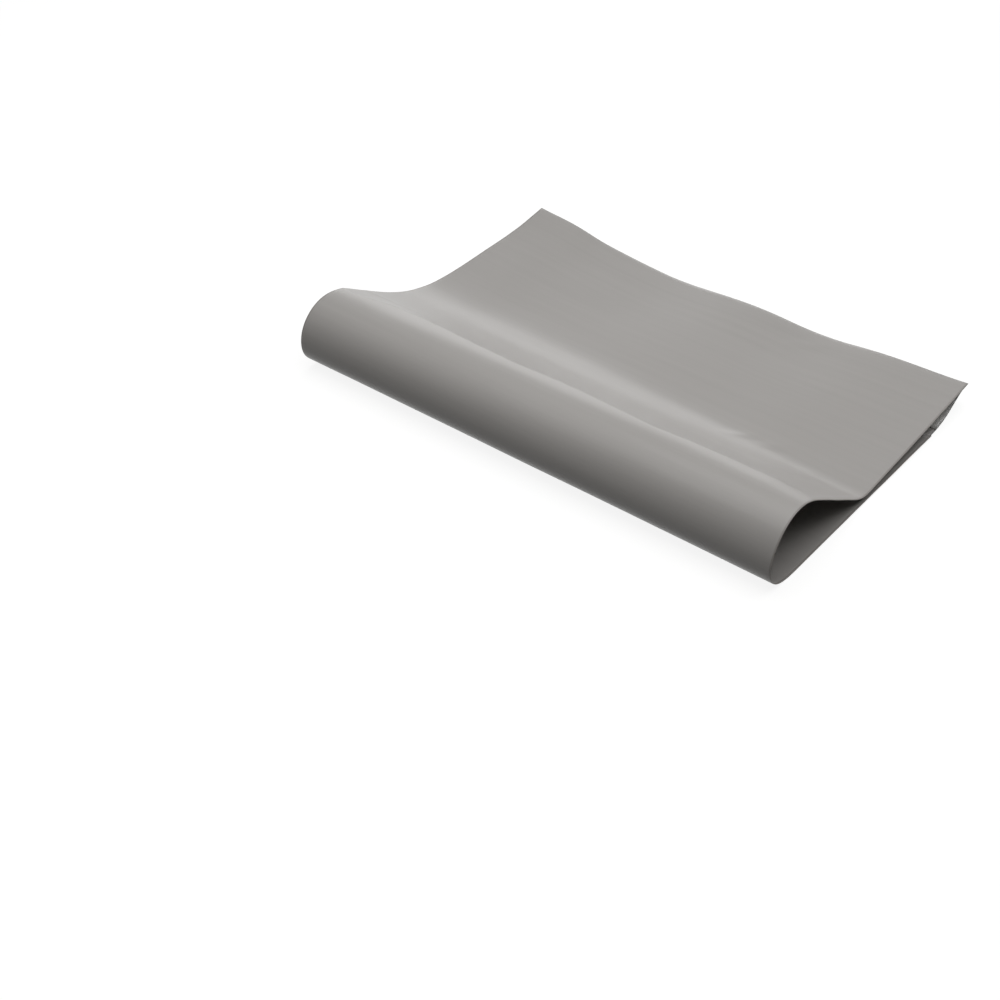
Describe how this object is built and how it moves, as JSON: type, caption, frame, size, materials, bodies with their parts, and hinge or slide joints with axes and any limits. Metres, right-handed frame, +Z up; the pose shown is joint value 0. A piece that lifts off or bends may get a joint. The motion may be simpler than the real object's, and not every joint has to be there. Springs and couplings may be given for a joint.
{
  "type": "poly mailer bag",
  "caption": "Flat plastic mailing bag folded in half over a soft rounded loop, plain back outward, with its closing flap and peel strip tucked between the two halves.",
  "frame": {"origin": "middle of the folded bag's footprint, on the floor it lies on", "axes": "+X along the fold, across the bag's width; +Y from the fold towards the two loose ends; +Z up"},
  "size_m": [0.305, 0.2184, 0.0414],
  "materials": {
    "grey_film": "satin co-extruded polyethylene film",
    "hot_melt": "clear pale yellow pressure-sensitive adhesive",
    "liner_film": "smooth white silicone-coated release film"
  },
  "bodies": {
    "root": {"film_envelope": "grey_film", "adhesive_strip": "hot_melt", "release_liner": "liner_film"}
  },
  "joints": []
}
